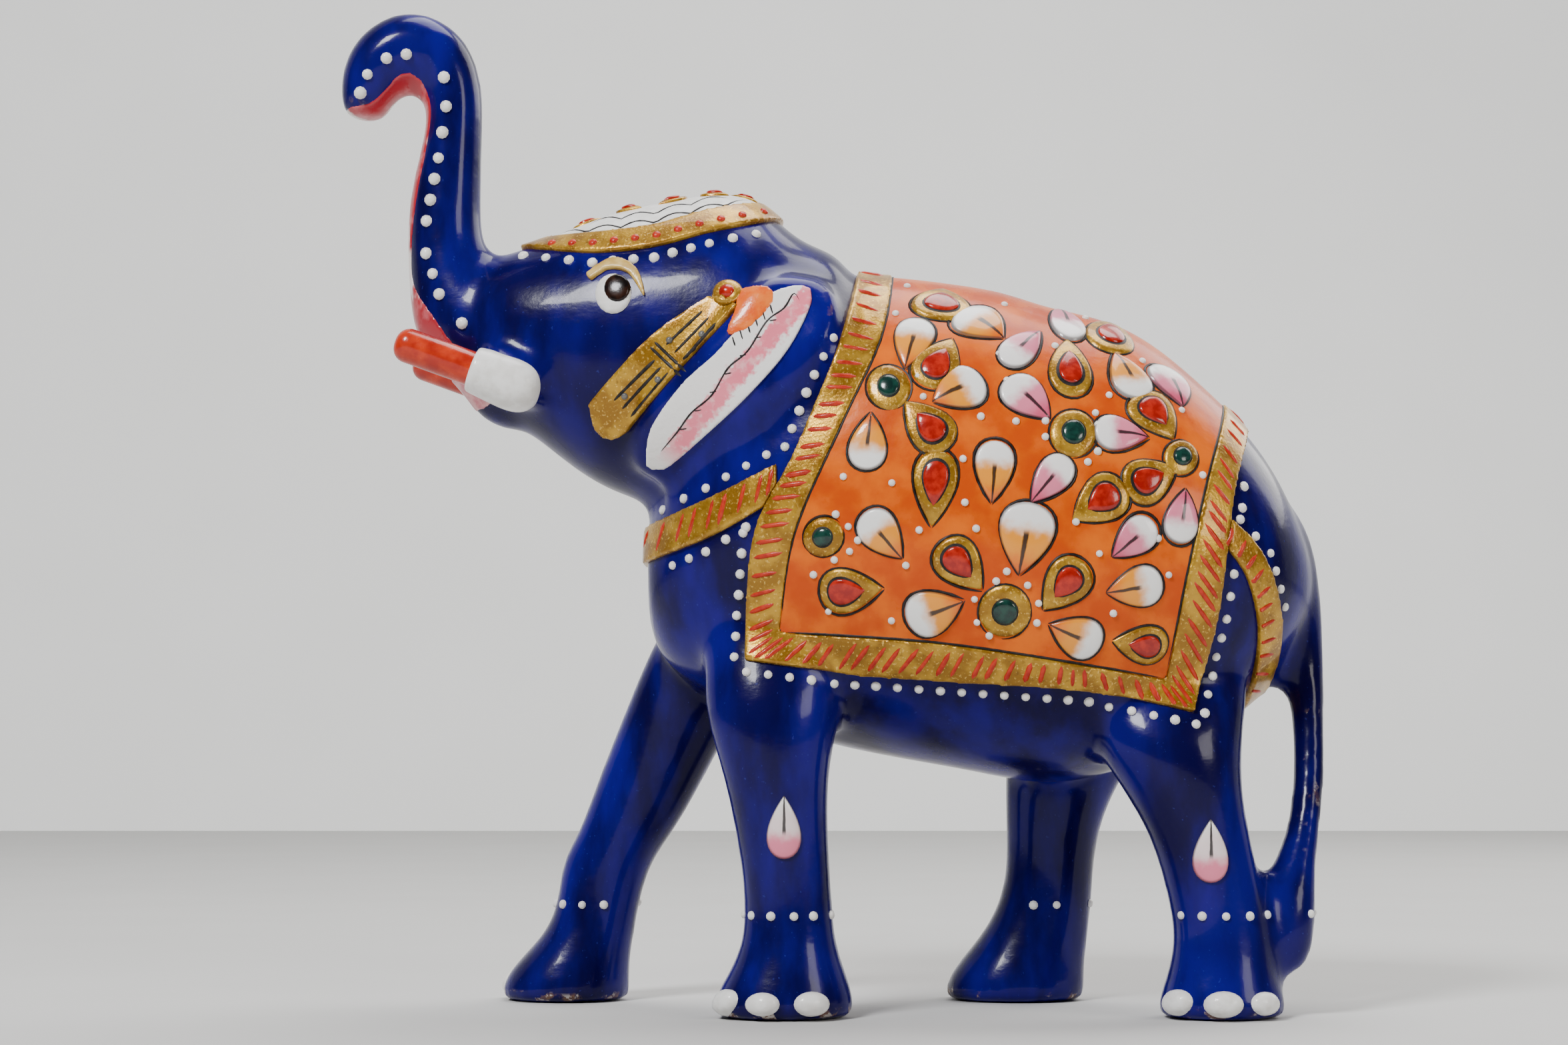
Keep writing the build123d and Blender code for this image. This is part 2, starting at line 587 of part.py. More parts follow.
# Rows of beads along the borders, straps and trunk
edge_row = row(shifted(BORDER_FRONT[1:], -row_gap, 0.6), bead_pitch)
edge_row += row(shifted(BORDER_FOOT, 0.2, -row_gap), bead_pitch)
edge_row += row(shifted(BORDER_REAR[:3], row_gap, 0.0), bead_pitch)
strap_row = row([(-9.6, 82.0), (-18.5, 77.4), (-25.0, 74.8)], bead_pitch)
strap_row += row([(-12.6, 71.4), (-18.5, 68.0), (-23.5, 66.2)], bead_pitch)
strap_row += row([(59.6, 72.6), (64.4, 67.8), (67.0, 60.0)], bead_pitch)
head_row = row(shifted(HEAD_BAND_FOOT[:5], 0.6, -row_gap), head_pitch)
trunk_row = row(TRUNK_ROW, trunk_pitch) + row(TIP_ROW, trunk_pitch)
bead_rows = (
    ("saddle_edge_beads", wood_skin, edge_row), ("strap_beads", wood_skin, strap_row),
    ("head_beads", wood_skin, head_row), ("trunk_beads", wood_skin, trunk_row),
    ("saddle_field_beads", cloth_skin, FIELD_BEADS),
)
for node, ground, spots in bead_rows:
    seats = [side_seat(ground, x, z, side) for x, z in spots for side in SIDES.values()]
    write(node, scatter(bead, seats))

# Buttons at the tops of the tassels, each a gold boss with a red stone
button_seats = [side_seat(wood_skin, *BUTTON, side) for side in SIDES.values()]
with BuildPart() as boss:
    Cylinder(button_radius, button_rise, align=(Align.CENTER, Align.CENTER, Align.MIN))
    fillet(boss.edges().group_by(Axis.Z)[-1], button_rise * 0.6)
write("tassel_buttons", scatter(boss.part, button_seats))
stone_seats = [seat.offset(button_rise) for seat in button_seats]
write("button_stones", scatter(dome(button_stone, button_stone, stone_rise), stone_seats))

# Painted lining of the trunk
write("trunk_lining", coat_region(trunk(cloth_coat), side_prism(TRUNK_LINING, -outside, outside)))
print("written:", len(os.listdir("parts")), "nodes")
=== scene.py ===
import bpy
import math
import random
from mathutils import Matrix, Vector
from mathutils.bvhtree import BVHTree


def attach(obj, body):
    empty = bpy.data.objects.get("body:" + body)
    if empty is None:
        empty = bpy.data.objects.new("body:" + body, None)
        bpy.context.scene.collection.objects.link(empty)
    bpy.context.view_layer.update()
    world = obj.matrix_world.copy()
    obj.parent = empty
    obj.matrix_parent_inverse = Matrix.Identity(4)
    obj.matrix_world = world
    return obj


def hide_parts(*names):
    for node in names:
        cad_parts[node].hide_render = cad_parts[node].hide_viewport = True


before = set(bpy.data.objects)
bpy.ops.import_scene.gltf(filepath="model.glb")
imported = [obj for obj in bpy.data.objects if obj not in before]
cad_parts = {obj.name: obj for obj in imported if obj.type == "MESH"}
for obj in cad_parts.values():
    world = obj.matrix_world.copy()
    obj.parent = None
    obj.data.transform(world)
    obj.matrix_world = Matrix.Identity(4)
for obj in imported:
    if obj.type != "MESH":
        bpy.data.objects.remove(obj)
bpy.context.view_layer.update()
random.seed(11)
mm = 0.001
leftAndRight = {"left": -1, "right": 1}
print("frame loaded:", len(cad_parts), "nodes")


# Handling pieces

def activate(piece):
    bpy.ops.object.select_all(action="DESELECT")
    piece.select_set(True)
    bpy.context.view_layer.objects.active = piece


def link(name, mesh):
    piece = bpy.data.objects.new(name, mesh)
    bpy.context.scene.collection.objects.link(piece)
    return piece


def applyModifiers(piece):
    activate(piece)
    for modifier in list(piece.modifiers):
        bpy.ops.object.modifier_apply(modifier=modifier.name)


def addModifier(piece, kind, **settings):
    modifier = piece.modifiers.new(kind.lower(), kind)
    for name, value in settings.items():
        setattr(modifier, name, value)
    applyModifiers(piece)


def cleanUp(piece):  # doubles merged and faces turned outwards
    activate(piece)
    bpy.ops.object.mode_set(mode="EDIT")
    bpy.ops.mesh.select_all(action="SELECT")
    bpy.ops.mesh.remove_doubles(threshold=0.000004)
    bpy.ops.mesh.normals_make_consistent(inside=False)
    bpy.ops.object.mode_set(mode="OBJECT")


def surfaceOf(*pieces):  # what later paste is laid on
    points, faces = [], []
    for piece in pieces:
        first = len(points)
        points += [vertex.co.copy() for vertex in piece.data.vertices]
        faces += [[first + index for index in face.vertices] for face in piece.data.polygons]
    return BVHTree.FromPolygons(points, faces)


def keep(piece, slot, material, *nodes, angle=40):
    piece.data.materials.clear()
    piece.data.materials.append(material)
    for face in piece.data.polygons:
        face.material_index = 0
    activate(piece)
    bpy.ops.object.shade_smooth_by_angle(angle=math.radians(angle))
    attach(piece, "root")
    if nodes:
        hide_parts(*nodes)
    return piece


def joined(name, pieces):
    bpy.ops.object.select_all(action="DESELECT")
    for piece in pieces:
        piece.select_set(True)
    bpy.context.view_layer.objects.active = pieces[0]
    bpy.ops.object.join()
    pieces[0].name = name
    return pieces[0]


# Shader nodes

class Wire:
    # one socket, with arithmetic that adds Math nodes
    def __init__(self, graph, socket):
        self.graph = graph
        self.socket = socket

    def math(self, operation, *others):
        return self.graph.node("ShaderNodeMath", {"operation": operation}, dict(enumerate((self, *others))))

    def __add__(self, other):
        return self.math("ADD", other)

    __radd__ = __add__

    def __mul__(self, other):
        return self.math("MULTIPLY", other)

    __rmul__ = __mul__

    def __sub__(self, other):
        return self.math("SUBTRACT", other)

    def __rsub__(self, other):
        return self * -1 + other

    def over(self, low, high):  # 0 below low, 1 above high
        values = {"Value": self, "From Min": low, "From Max": high}
        return self.graph.node("ShaderNodeMapRange", {"interpolation_type": "SMOOTHSTEP"}, values)


class Finish:
    # a material and the nodes that it is made of
    def __init__(self, name, rough=0.3, metal=0.0, coat=0.0, shine=0.3):
        self.material = bpy.data.materials.new(name)
        self.material.use_nodes = True
        self.tree = self.material.node_tree
        self.shader = self.tree.nodes["Principled BSDF"]
        self.shader.inputs["Roughness"].default_value = rough
        self.shader.inputs["Metallic"].default_value = metal
        self.shader.inputs["Coat Weight"].default_value = coat
        self.shader.inputs["Coat Roughness"].default_value = 0.06
        self.shader.inputs["Specular IOR Level"].default_value = shine

    def node(self, kind, settings=None, values=None, output=0):
        made = self.tree.nodes.new(kind)
        for name, value in (settings or {}).items():
            if name == "stops":
                ramp = made.color_ramp
                ramp.elements.remove(ramp.elements[1])
                for place, (position, color) in enumerate(value):
                    stop = ramp.elements[0] if place == 0 else ramp.elements.new(position)
                    stop.position = position
                    stop.color = (*color, 1)
            else:
                setattr(made, name, value)
        for name, value in (values or {}).items():
            self.plug(made.inputs[name], value)
        return Wire(self, made.outputs[output])

    def plug(self, socket, value):
        if isinstance(value, Wire):
            self.tree.links.new(value.socket, socket)
        elif isinstance(value, tuple) and len(value) == 3 and socket.type == "RGBA":
            socket.default_value = (*value, 1)
        else:
            socket.default_value = value

    def place(self):
        return self.node("ShaderNodeTexCoord", output=3)

    def flat(self):  # the piece's own UV, as two numbers
        uv = self.node("ShaderNodeTexCoord", output=2)
        parts = self.tree.nodes.new("ShaderNodeSeparateXYZ")
        self.plug(parts.inputs[0], uv)
        return Wire(self, parts.outputs[0]), Wire(self, parts.outputs[1])

    def axes(self):  # object coordinates, as three numbers in millimetres
        parts = self.tree.nodes.new("ShaderNodeSeparateXYZ")
        self.plug(parts.inputs[0], self.place())
        return [Wire(self, output) * 1000 for output in parts.outputs]

    def stretched(self, scale, turn=(0, 0, 0)):
        values = {"Vector": self.place(), "Scale": scale, "Rotation": turn}
        return self.node("ShaderNodeMapping", values=values)

    def noise(self, size, detail=3.0, where=None):  # size in millimetres
        values = {"Vector": where or self.place(), "Scale": 1000 / size, "Detail": detail}
        return self.node("ShaderNodeTexNoise", values=values)

    def mix(self, share, first, second):
        made = self.tree.nodes.new("ShaderNodeMix")
        made.data_type = "RGBA"
        self.plug(made.inputs[0], share)
        self.plug(made.inputs[6], first)
        self.plug(made.inputs[7], second)
        return Wire(self, made.outputs[2])

    def bump(self, height, strength=0.3, depth=0.1):  # depth in millimetres
        values = {"Height": height, "Strength": strength, "Distance": depth * mm}
        self.plug(self.shader.inputs["Normal"], self.node("ShaderNodeBump", values=values))

    def show(self, color, rough=None, metal=None):
        self.plug(self.shader.inputs["Base Color"], color)
        if rough is not None:
            self.plug(self.shader.inputs["Roughness"], rough)
        if metal is not None:
            self.plug(self.shader.inputs["Metallic"], metal)
        return self.material


blueLook = {"deep": (0.003, 0.0004, 0.04), "bright": (0.009, 0.001, 0.18), "dull": (0.005, 0.0006, 0.075)}


def blueLacquer():
    finish = Finish("blue_lacquer", coat=0.16, shine=0.12)
    streak = finish.noise(9, 5, finish.stretched((1, 1, 0.35), (0, 0.35, 0)))
    cloud = finish.noise(24, 3)
    color = finish.mix(streak.over(0.36, 0.66), blueLook["deep"], blueLook["bright"])
    color = finish.mix(cloud.over(0.45, 0.75) * 0.65, color, blueLook["dull"])
    speck = finish.noise(0.55, 1).over(0.72, 0.76)
    color = finish.mix(speck * 0.3, color, (0.03, 0.04, 0.3))
    rub = finish.noise(2.1, 4).over(0.66, 0.78) * cloud.over(0.5, 0.62)
    color = finish.mix(rub * 0.35, color, (0.01, 0.01, 0.06))
    edge = finish.node("ShaderNodeAttribute", {"attribute_name": "edge"}, output=2)
    chip = edge.over(0.2, 0.36) * finish.noise(3.2, 5).over(0.54, 0.6)
    color = finish.mix(chip * 0.8, color, (0.2, 0.11, 0.06))
    color = finish.mix(chip * finish.noise(0.9, 2).over(0.52, 0.58) * 0.8, color, (0.6, 0.56, 0.52))
    grain = finish.noise(3.5, 4, finish.stretched((0.6, 1, 1.6)))
    finish.bump(grain + finish.noise(0.7, 2) * 0.25, 0.35, 0.16)
    return finish.show(color, 0.1 + finish.noise(5, 3) * 0.22)


def paint(name, color, other, size=3.0, rough=0.28, coat=0.4, bump=0.2, shine=0.3):
    finish = Finish(name, coat=coat, shine=shine)
    patch = finish.noise(size, 4)
    finish.bump(finish.noise(size * 0.35, 3), 0.3, bump)
    return finish.show(finish.mix(patch.over(0.35, 0.68), color, other), rough + patch * 0.15)


def goldPaste():
    finish = Finish("gold_paste", coat=0.3)
    flake = finish.noise(0.42, 2)
    tone = finish.noise(3.4, 3)
    color = finish.mix(tone.over(0.38, 0.66), (0.3, 0.14, 0.008), (0.56, 0.31, 0.025))
    color = finish.mix(flake.over(0.58, 0.7) * 0.6, color, (0.95, 0.62, 0.14))
    color = finish.mix(finish.noise(0.8, 2).over(0.64, 0.74) * 0.5, color, (0.14, 0.06, 0.005))
    finish.bump(flake, 0.6, 0.1)
    return finish.show(color, 0.22 + flake * 0.25, 0.5)


def dropPaint(name, roundEnd, middle, pointEnd, veined=True):
    # round end at U 0, point at U 1, with a brushed vein that starts at the point
    finish = Finish(name, coat=0.5)
    along, across = finish.flat()
    wobble = (finish.noise(1.6, 3) - 0.5) * 0.25
    place = along + wobble
    color = finish.mix(place.over(0.24, 0.5), roundEnd, middle)
    color = finish.mix(place.over(0.6, 0.95), color, pointEnd)
    offCentre = (across - 0.5 + wobble * 0.2).math("ABSOLUTE")
    if veined:
        vein = (1 - offCentre.over(0.035, 0.07)) * along.over(0.36, 0.46)
        color = finish.mix(vein * 0.95, color, (0.012, 0.01, 0.01))
    radius = ((along - 0.5) * (along - 0.5) + (across - 0.5) * (across - 0.5)).math("SQRT")
    color = finish.mix((radius.over(0.44, 0.49)) * 0.75, color, (0.05, 0.03, 0.03))
    finish.bump(finish.noise(0.9, 3), 0.25, 0.12)
    return finish.show(color, 0.25 + finish.noise(2.0, 2) * 0.15)


blue = blueLacquer()
gold = goldPaste()
orange = paint("orange_cloth", (0.56, 0.062, 0.0), (0.78, 0.14, 0.0), 6.0, 0.2, 0.08, 0.25, 0.16)
white = paint("white_paste", (0.9, 0.89, 0.86), (0.78, 0.76, 0.72), 1.6, 0.3, 0.3, 0.15)
black = paint("black_line", (0.006, 0.005, 0.006), (0.025, 0.02, 0.02), 1.2, 0.4, 0.0, 0.1)
pupilBlack = paint("pupil_black", (0.005, 0.003, 0.003), (0.03, 0.01, 0.005), 1.6, 0.12, 0.0, 0.05)
redDash = paint("red_dash", (0.4, 0.012, 0.002), (0.56, 0.03, 0.006), 1.0, 0.3, 0.2, 0.1)
tuskRed = paint("tusk_red", (0.4, 0.014, 0.003), (0.6, 0.04, 0.006), 2.5, 0.18, 0.35, 0.15)
mustard = paint("mustard_brow", (0.5, 0.3, 0.05), (0.68, 0.46, 0.12), 1.5, 0.32, 0.3, 0.1)
stoneRed = paint("stone_red", (0.3, 0.006, 0.003), (0.5, 0.02, 0.006), 1.2, 0.14, 0.4, 0.05)
stoneGreen = paint("stone_green", (0.003, 0.02, 0.016), (0.006, 0.05, 0.035), 1.2, 0.14, 0.5, 0.05)
whiteDrop = dropPaint("white_drop", (0.9, 0.89, 0.86), (0.84, 0.3, 0.015), (0.76, 0.13, 0.0))
pinkDrop = dropPaint("pink_drop", (0.9, 0.87, 0.85), (0.76, 0.2, 0.3), (0.62, 0.06, 0.14))
legDrop = dropPaint("leg_drop", (0.8, 0.2, 0.3), (0.86, 0.72, 0.72), (0.88, 0.86, 0.82))
orangePatch = paint("orange_patch", (0.8, 0.1, 0.004), (0.9, 0.2, 0.02), 2.0, 0.2, 0.5, 0.2)
pinkMouth = paint("pink_mouth", (0.62, 0.16, 0.2), (0.75, 0.35, 0.35), 1.5, 0.3, 0.4, 0.1)
grayDot = paint("gray_dot", (0.08, 0.08, 0.08), (0.16, 0.15, 0.13), 0.8, 0.35, 0.3, 0.05)


earBand = {"middle": (-15, 94), "way": (0.66, 0.751)}  # x and z of the panel's middle and of its long way


def earLining():  # white, with a feathered pink band along the lower edge
    finish = Finish("ear_lining", coat=0.5)
    x, y, z = finish.axes()
    middleX, middleZ = earBand["middle"]
    wayX, wayZ = earBand["way"]
    across = (x - middleX) * wayZ - (z - middleZ) * wayX
    along = (x - middleX) * wayX + (z - middleZ) * wayZ
    feather = finish.noise(0.8, 2)
    ragged = across + (feather - 0.5) * 2.6
    pinkShare = ragged.over(-0.7, 0.2) * (1 - ragged.over(2.0, 3.0)) * along.over(-17, -12)
    color = finish.mix(pinkShare, (0.88, 0.86, 0.83), (0.86, 0.2, 0.27))
    color = finish.mix(pinkShare * finish.noise(1.6, 3).over(0.5, 0.7) * 0.6, color, (0.92, 0.55, 0.55))
    finish.bump(feather, 0.4, 0.2)
    return finish.show(color, 0.2 + feather * 0.12)


def trunkLining():  # red brushed over white, which shows in worn patches
    finish = Finish("trunk_lining", coat=0.5)
    worn = finish.noise(7, 4, finish.stretched((1, 1, 0.6)))
    color = finish.mix(worn.over(0.5, 0.56), (0.42, 0.018, 0.03), (0.85, 0.74, 0.7))
    color = finish.mix(finish.noise(2.5, 3).over(0.5, 0.7) * 0.45, color, (0.72, 0.2, 0.22))
    finish.bump(worn, 0.3, 0.15)
    return finish.show(color, 0.22 + worn * 0.15)


earPaint = earLining()
trunkPaint = trunkLining()
print("finishes made")


# The camera

camera = {"place": (-7, -500, 41.5), "pitch": 3.66, "lens": 75.5}
bpy.ops.object.camera_add(location=[value * mm for value in camera["place"]],
                          rotation=(math.radians(90 + camera["pitch"]), 0, 0))
viewer = bpy.context.object
viewer.data.lens = camera["lens"]
viewer.data.clip_start = 0.01
bpy.context.scene.camera = viewer


# The carving: the CAD masses melted into one skin

carving = {"voxel": 0.8, "fill": 1.7, "melt": 13}


def carve():
    piece = link("lacquered_body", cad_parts["carved_body"].data.copy())
    cleanUp(piece)
    voxel, fill = carving["voxel"] * mm, carving["fill"] * mm
    addModifier(piece, "REMESH", mode="VOXEL", voxel_size=voxel)
    # swelling and shrinking again fills the creases
    addModifier(piece, "DISPLACE", strength=fill, mid_level=0)
    addModifier(piece, "REMESH", mode="VOXEL", voxel_size=voxel)
    addModifier(piece, "SMOOTH", factor=0.5, iterations=3)
    addModifier(piece, "DISPLACE", strength=-fill, mid_level=0)
    addModifier(piece, "REMESH", mode="VOXEL", voxel_size=voxel)
    addModifier(piece, "SMOOTH", factor=0.5, iterations=carving["melt"])
    return piece


def markEdges(piece):  # how sharply the skin bends outwards at each point, in radians per millimetre
    mesh = piece.data
    bends = [[] for vertex in mesh.vertices]
    for edge in mesh.edges:
        start, end = (mesh.vertices[index] for index in edge.vertices)
        way = end.co - start.co
        bend = (end.normal - start.normal).dot(way) / max(way.length_squared, 1e-12)
        for index in edge.vertices:
            bends[index].append(bend * mm)
    attribute = mesh.attributes.new("edge", "FLOAT", "POINT")
    attribute.data.foreach_set("value", [sum(found) / max(1, len(found)) for found in bends])


body = carve()
markEdges(body)
print("carving melted:", len(body.data.polygons), "faces")


# Flat outlines in the side view, (x, z) in millimetres

def curveThrough(points, spacing=1.2):
    if len(points) == 2:
        return list(points[:1])
    ends = [points[0]] + list(points) + [points[-1]]
    line = []
    for before, start, end, after in zip(ends, ends[1:], ends[2:], ends[3:]):
        steps = max(2, round(math.dist(start, end) / spacing))
        for step in range(steps):
            t = step / steps
            line.append(tuple(0.5 * (2 * s + (e - b) * t + (2 * b - 5 * s + 4 * e - a) * t * t
                                     + (3 * s - b - 3 * e + a) * t ** 3)
                              for b, s, e, a in zip(before, start, end, after)))
    return line


def openCurve(points, spacing=1.2):
    return curveThrough(points, spacing) + [points[-1]]


def outline(*edges):
    return [point for edge in edges for point in curveThrough(edge)]


def ring(*edges):  # an outline whose edges are joined by straight lines
    joins = [[edge[-1], after[0]] for edge, after in zip(edges, edges[1:] + edges[:1])]
    return outline(*[line for pair in zip(edges, joins) for line in pair])


cutterReach = 60  # how far a cutter goes out past either side


def cutter(line, low=-cutterReach, high=cutterReach):  # a prism from y = low to y = high
    count = len(line)
    points = [Vector((x, y, z)) * mm for y in (low, high) for x, z in line]
    faces = [list(range(count)), list(range(2 * count - 1, count - 1, -1))]
    faces += [[i, count + i, count + (i + 1) % count, (i + 1) % count] for i in range(count)]
    mesh = bpy.data.meshes.new("cutter")
    mesh.from_pydata(points, [], faces)
    piece = link("cutter", mesh)
    cleanUp(piece)
    mesh.materials.append(black)
    return piece


def cutPiece(piece, tool, operation):
    modifier = piece.modifiers.new("cut", "BOOLEAN")
    modifier.object = tool
    modifier.operation = operation
    modifier.solver = "MANIFOLD"
    modifier.material_mode = "TRANSFER"
    applyModifiers(piece)
    bpy.data.objects.remove(tool)


def pasteSkin(name, tools, coat, soft=None, inside=0.4):
    # the skin inside the first cutter and outside the others, built up by coat
    piece = link(name, body.data.copy())
    piece.data.materials.clear()
    piece.data.materials.append(white)
    for number, tool in enumerate(tools):
        cutPiece(piece, tool, "DIFFERENCE" if number else "INTERSECT")
    wall = {index for index, material in enumerate(piece.data.materials) if material == black}
    activate(piece)
    bpy.context.tool_settings.mesh_select_mode = (False, False, True)
    for face in piece.data.polygons:
        face.select = face.material_index in wall
    bpy.ops.object.mode_set(mode="EDIT")
    bpy.ops.mesh.delete(type="FACE")
    bpy.ops.object.mode_set(mode="OBJECT")
    total = coat + inside
    addModifier(piece, "SOLIDIFY", thickness=total * mm, offset=2 * coat / total - 1)
    if soft:
        addModifier(piece, "REMESH", mode="VOXEL", voxel_size=soft * mm)
        addModifier(piece, "SMOOTH", factor=0.5, iterations=4)
    return piece


# Saddle cloth, border and straps

saddle = {
    "clothFront": [(9.7, 112), (7.4, 99.7), (1.5, 86.4), (-5.4, 70.4), (-7.6, 56.2)],
    "clothFoot": [(-7.6, 56.2), (15.5, 54.5), (38.2, 51.1), (48.5, 49.4)],
    "clothRear": [(48.5, 49.4), (51.6, 66), (55.1, 79.7), (60.5, 94)],
    "borderFront": [(4.3, 112), (1, 98.5), (-5.3, 82.5), (-11.4, 70), (-12.7, 52)],
    "borderFoot": [(-12.7, 52), (0, 50.4), (15.6, 49.2), (37.2, 47.6), (52.6, 44.4)],
    "borderRear": [(52.6, 44.4), (55.9, 58), (58.9, 77.6), (65, 91.5)],
    "above": 125, "cloth": 0.4, "gold": 0.8, "soft": 0.34,
}
breast = {
    "top": [(-8, 80.6), (-18.5, 75.6), (-32, 70.6)],
    "foot": [(-32, 65.6), (-18.5, 69.8), (-8, 75.4)],
}
crupper = {
    "rear": [(57, 73.4), (63.2, 67), (66.4, 56), (64.6, 43)],
    "front": [(61.4, 43), (62.6, 55), (60.6, 63.6), (57, 68.6)],
}


def saddleTool(kind):  # everything inside the outer edge of the cloth or of the border
    front, foot, rear = (saddle[kind + edge] for edge in ("Front", "Foot", "Rear"))
    rearTop, frontTop = (rear[-1][0], saddle["above"]), (front[0][0], saddle["above"])
    return cutter(outline(front, foot, rear, [rear[-1], rearTop], [rearTop, frontTop], [frontTop, front[0]]))


def goldSkin(name, line, around):  # raised gold inside the line and outside the saddle's edge
    tools = [line, saddleTool(around)]
    return pasteSkin(name, tools, saddle["gold"], saddle["soft"])


cloth = pasteSkin("saddle_cloth_paint", [saddleTool("cloth")], saddle["cloth"])
border = goldSkin("saddle_border_paste", saddleTool("border"), "cloth")
breastPiece = goldSkin("breast_strap_paste", cutter(ring(breast["top"], breast["foot"])), "border")
crupperPiece = goldSkin("crupper_strap_paste", cutter(ring(crupper["rear"], crupper["front"])), "border")
keep(cloth, "orange_paste", orange, "saddle_cloth")
keep(border, "gold_paste", gold, "saddle_border")
keep(breastPiece, "gold_paste", gold, "breast_strap")
keep(crupperPiece, "gold_paste", gold, "crupper_strap")
print("saddle laid")


# Head cloth, band, ear panels, tassels and brows

head = {
    "bandFoot": [(-47, 115), (-36.2, 113.1), (-26.9, 113.6), (-18.7, 115.7), (-11.7, 117.4), (-5, 120)],
    "bandTop": [(-47, 116.4), (-36, 116.3), (-27, 117.1), (-19, 119.3), (-12, 121), (-7, 123)],
    "crown": [(0, 135), (-50, 135)],
    "earPanel": [(-27.4, 81.2), (-26.6, 86.2), (-22, 92.4), (-16.8, 97), (-12.8, 101.6), (-8.8, 105.8),
                 (-4.2, 107), (-2.9, 104.8), (-6.2, 97.6), (-11.8, 91), (-18.6, 85), (-24.6, 80.6),
                 (-27.4, 81.2)],
    "tassel": [[(-13.4, 103.9), (-18, 105.6)], [(-18, 105.6), (-26.6, 99.8), (-35.8, 90.4)],
               [(-35.8, 90.4), (-34.9, 86.6), (-32.4, 85.2), (-30.1, 86)],
               [(-30.1, 86), (-23.2, 93.7), (-13.4, 103.9)]],
    "earPatch": [(-13.6, 106.4), (-9.4, 106.6), (-8.6, 104.4), (-11.8, 100.6), (-15.2, 99.6), (-14, 103),
                 (-13.6, 106.4)],
    "brow": [(-36.4, 109.6), (-32.4, 112), (-28.8, 110.2), (-27.6, 105.8), (-30.2, 109.6), (-33.4, 110.2),
             (-35.6, 108.6), (-36.4, 109.6)],
    "flapDepth": 11,
}


def sideTool(side, *edges):
    return cutter(outline(*edges), *sorted((side * cutterReach, side * head["flapDepth"])))


bandTop, bandFoot = head["bandTop"], head["bandFoot"]
headCloth = pasteSkin("head_cloth_paint", [cutter(ring(bandTop, head["crown"]))], 0.35)
keep(headCloth, "white_paste", white, "head_cloth")
headBand = pasteSkin("head_band_paste", [cutter(ring(bandFoot, bandTop[::-1]))], 0.8, 0.3)
keep(headBand, "gold_paste", gold, "head_band")
earPanels, tassels = {}, {}
for name, side in leftAndRight.items():
    earPanels[name] = pasteSkin(f"ear_panel_{name}_paint", [sideTool(side, head["earPanel"])], 0.5, 0.24)
    keep(earPanels[name], "white_paste", earPaint, f"ear_panel_{name}")
    tassels[name] = pasteSkin(f"tassel_{name}_paste", [sideTool(side, *head["tassel"])], 0.9, 0.3)
    keep(tassels[name], "gold_paste", gold, f"tassel_{name}")
    patch = pasteSkin(f"ear_patch_{name}_paint", [sideTool(side, head["earPatch"])], 0.6, 0.24)
    keep(patch, "orange_paste", orangePatch)
    brow = pasteSkin(f"brow_{name}_paste", [sideTool(side, head["brow"])], 0.7, 0.22)
    keep(brow, "mustard_paste", mustard, f"brow_{name}")


# White paint on the tusk sleeves, and the painted lining of the trunk

sleeve = {
    "root": (-46.0, 12.6, 92.9), "lift": 20,
    "profile": [(-3.1, 0), (-2.8, 2.0), (-1.6, 3.6), (0.8, 4.25), (4.2, 3.9), (7.0, 3.6), (7.95, 3.45),
                (8.0, 2.8), (8.0, 0)],
}
lining = [(-56.5, 99.6), (-60, 104.4), (-63.4, 110), (-63.6, 117), (-62.7, 124), (-61.4, 131), (-60.9, 137),
          (-62.6, 141.2), (-65.4, 141.8), (-68.2, 139), (-70.6, 137.2), (-75.5, 136.4), (-75.5, 133),
          (-68.6, 133.8), (-66.4, 137.4), (-63.9, 137.4), (-63.6, 131), (-66, 124), (-67.5, 112),
          (-64.5, 103), (-59, 97.8), (-56.5, 99.6)]
lip = [(-58, 95.4), (-54.6, 94.8), (-51.6, 93.6), (-51.2, 91.2), (-54, 90.4), (-58, 91.4), (-58, 95.4)]


def turned(name, profile, steps=36):  # (height, radius) points spun round Z
    mesh = bpy.data.meshes.new(name)
    mesh.from_pydata([(radius * mm, 0, height * mm) for height, radius in profile],
                     [(i, i + 1) for i in range(len(profile) - 1)], [])
    piece = link(name, mesh)
    activate(piece)
    bpy.ops.object.mode_set(mode="EDIT")
    bpy.ops.mesh.select_all(action="SELECT")
    bpy.ops.mesh.spin(steps=steps, angle=2 * math.pi, center=(0, 0, 0), axis=(0, 0, 1))
    bpy.ops.object.mode_set(mode="OBJECT")
    cleanUp(piece)
    return piece


for name, side in leftAndRight.items():
    lift = math.radians(sleeve["lift"])
    way = Vector((-math.cos(lift), 0, math.sin(lift)))
    x, y, z = sleeve["root"]
    boss = turned(f"tusk_sleeve_{name}_paint", sleeve["profile"])
    addModifier(boss, "SUBSURF", levels=2, render_levels=2)
    turn = way.to_track_quat("Z", "Y").to_matrix().to_4x4()
    boss.data.transform(Matrix.Translation(Vector((x, side * y, z)) * mm) @ turn)
    keep(boss, "white_paste", white)
liningPiece = pasteSkin("trunk_lining_paint", [cutter(outline(lining))], 0.16, 0.3)
keep(liningPiece, "red_paste", trunkPaint, "trunk_lining")
lipPiece = pasteSkin("mouth_paint", [cutter(outline(lip))], 0.16, 0.3)
keep(lipPiece, "pink_paste", pinkMouth)
print("head dressed")


# Laying small pieces on the painted skin

skin = surfaceOf(body, cloth, border, breastPiece, crupperPiece, headCloth, headBand, *earPanels.values(),
                 *tassels.values())


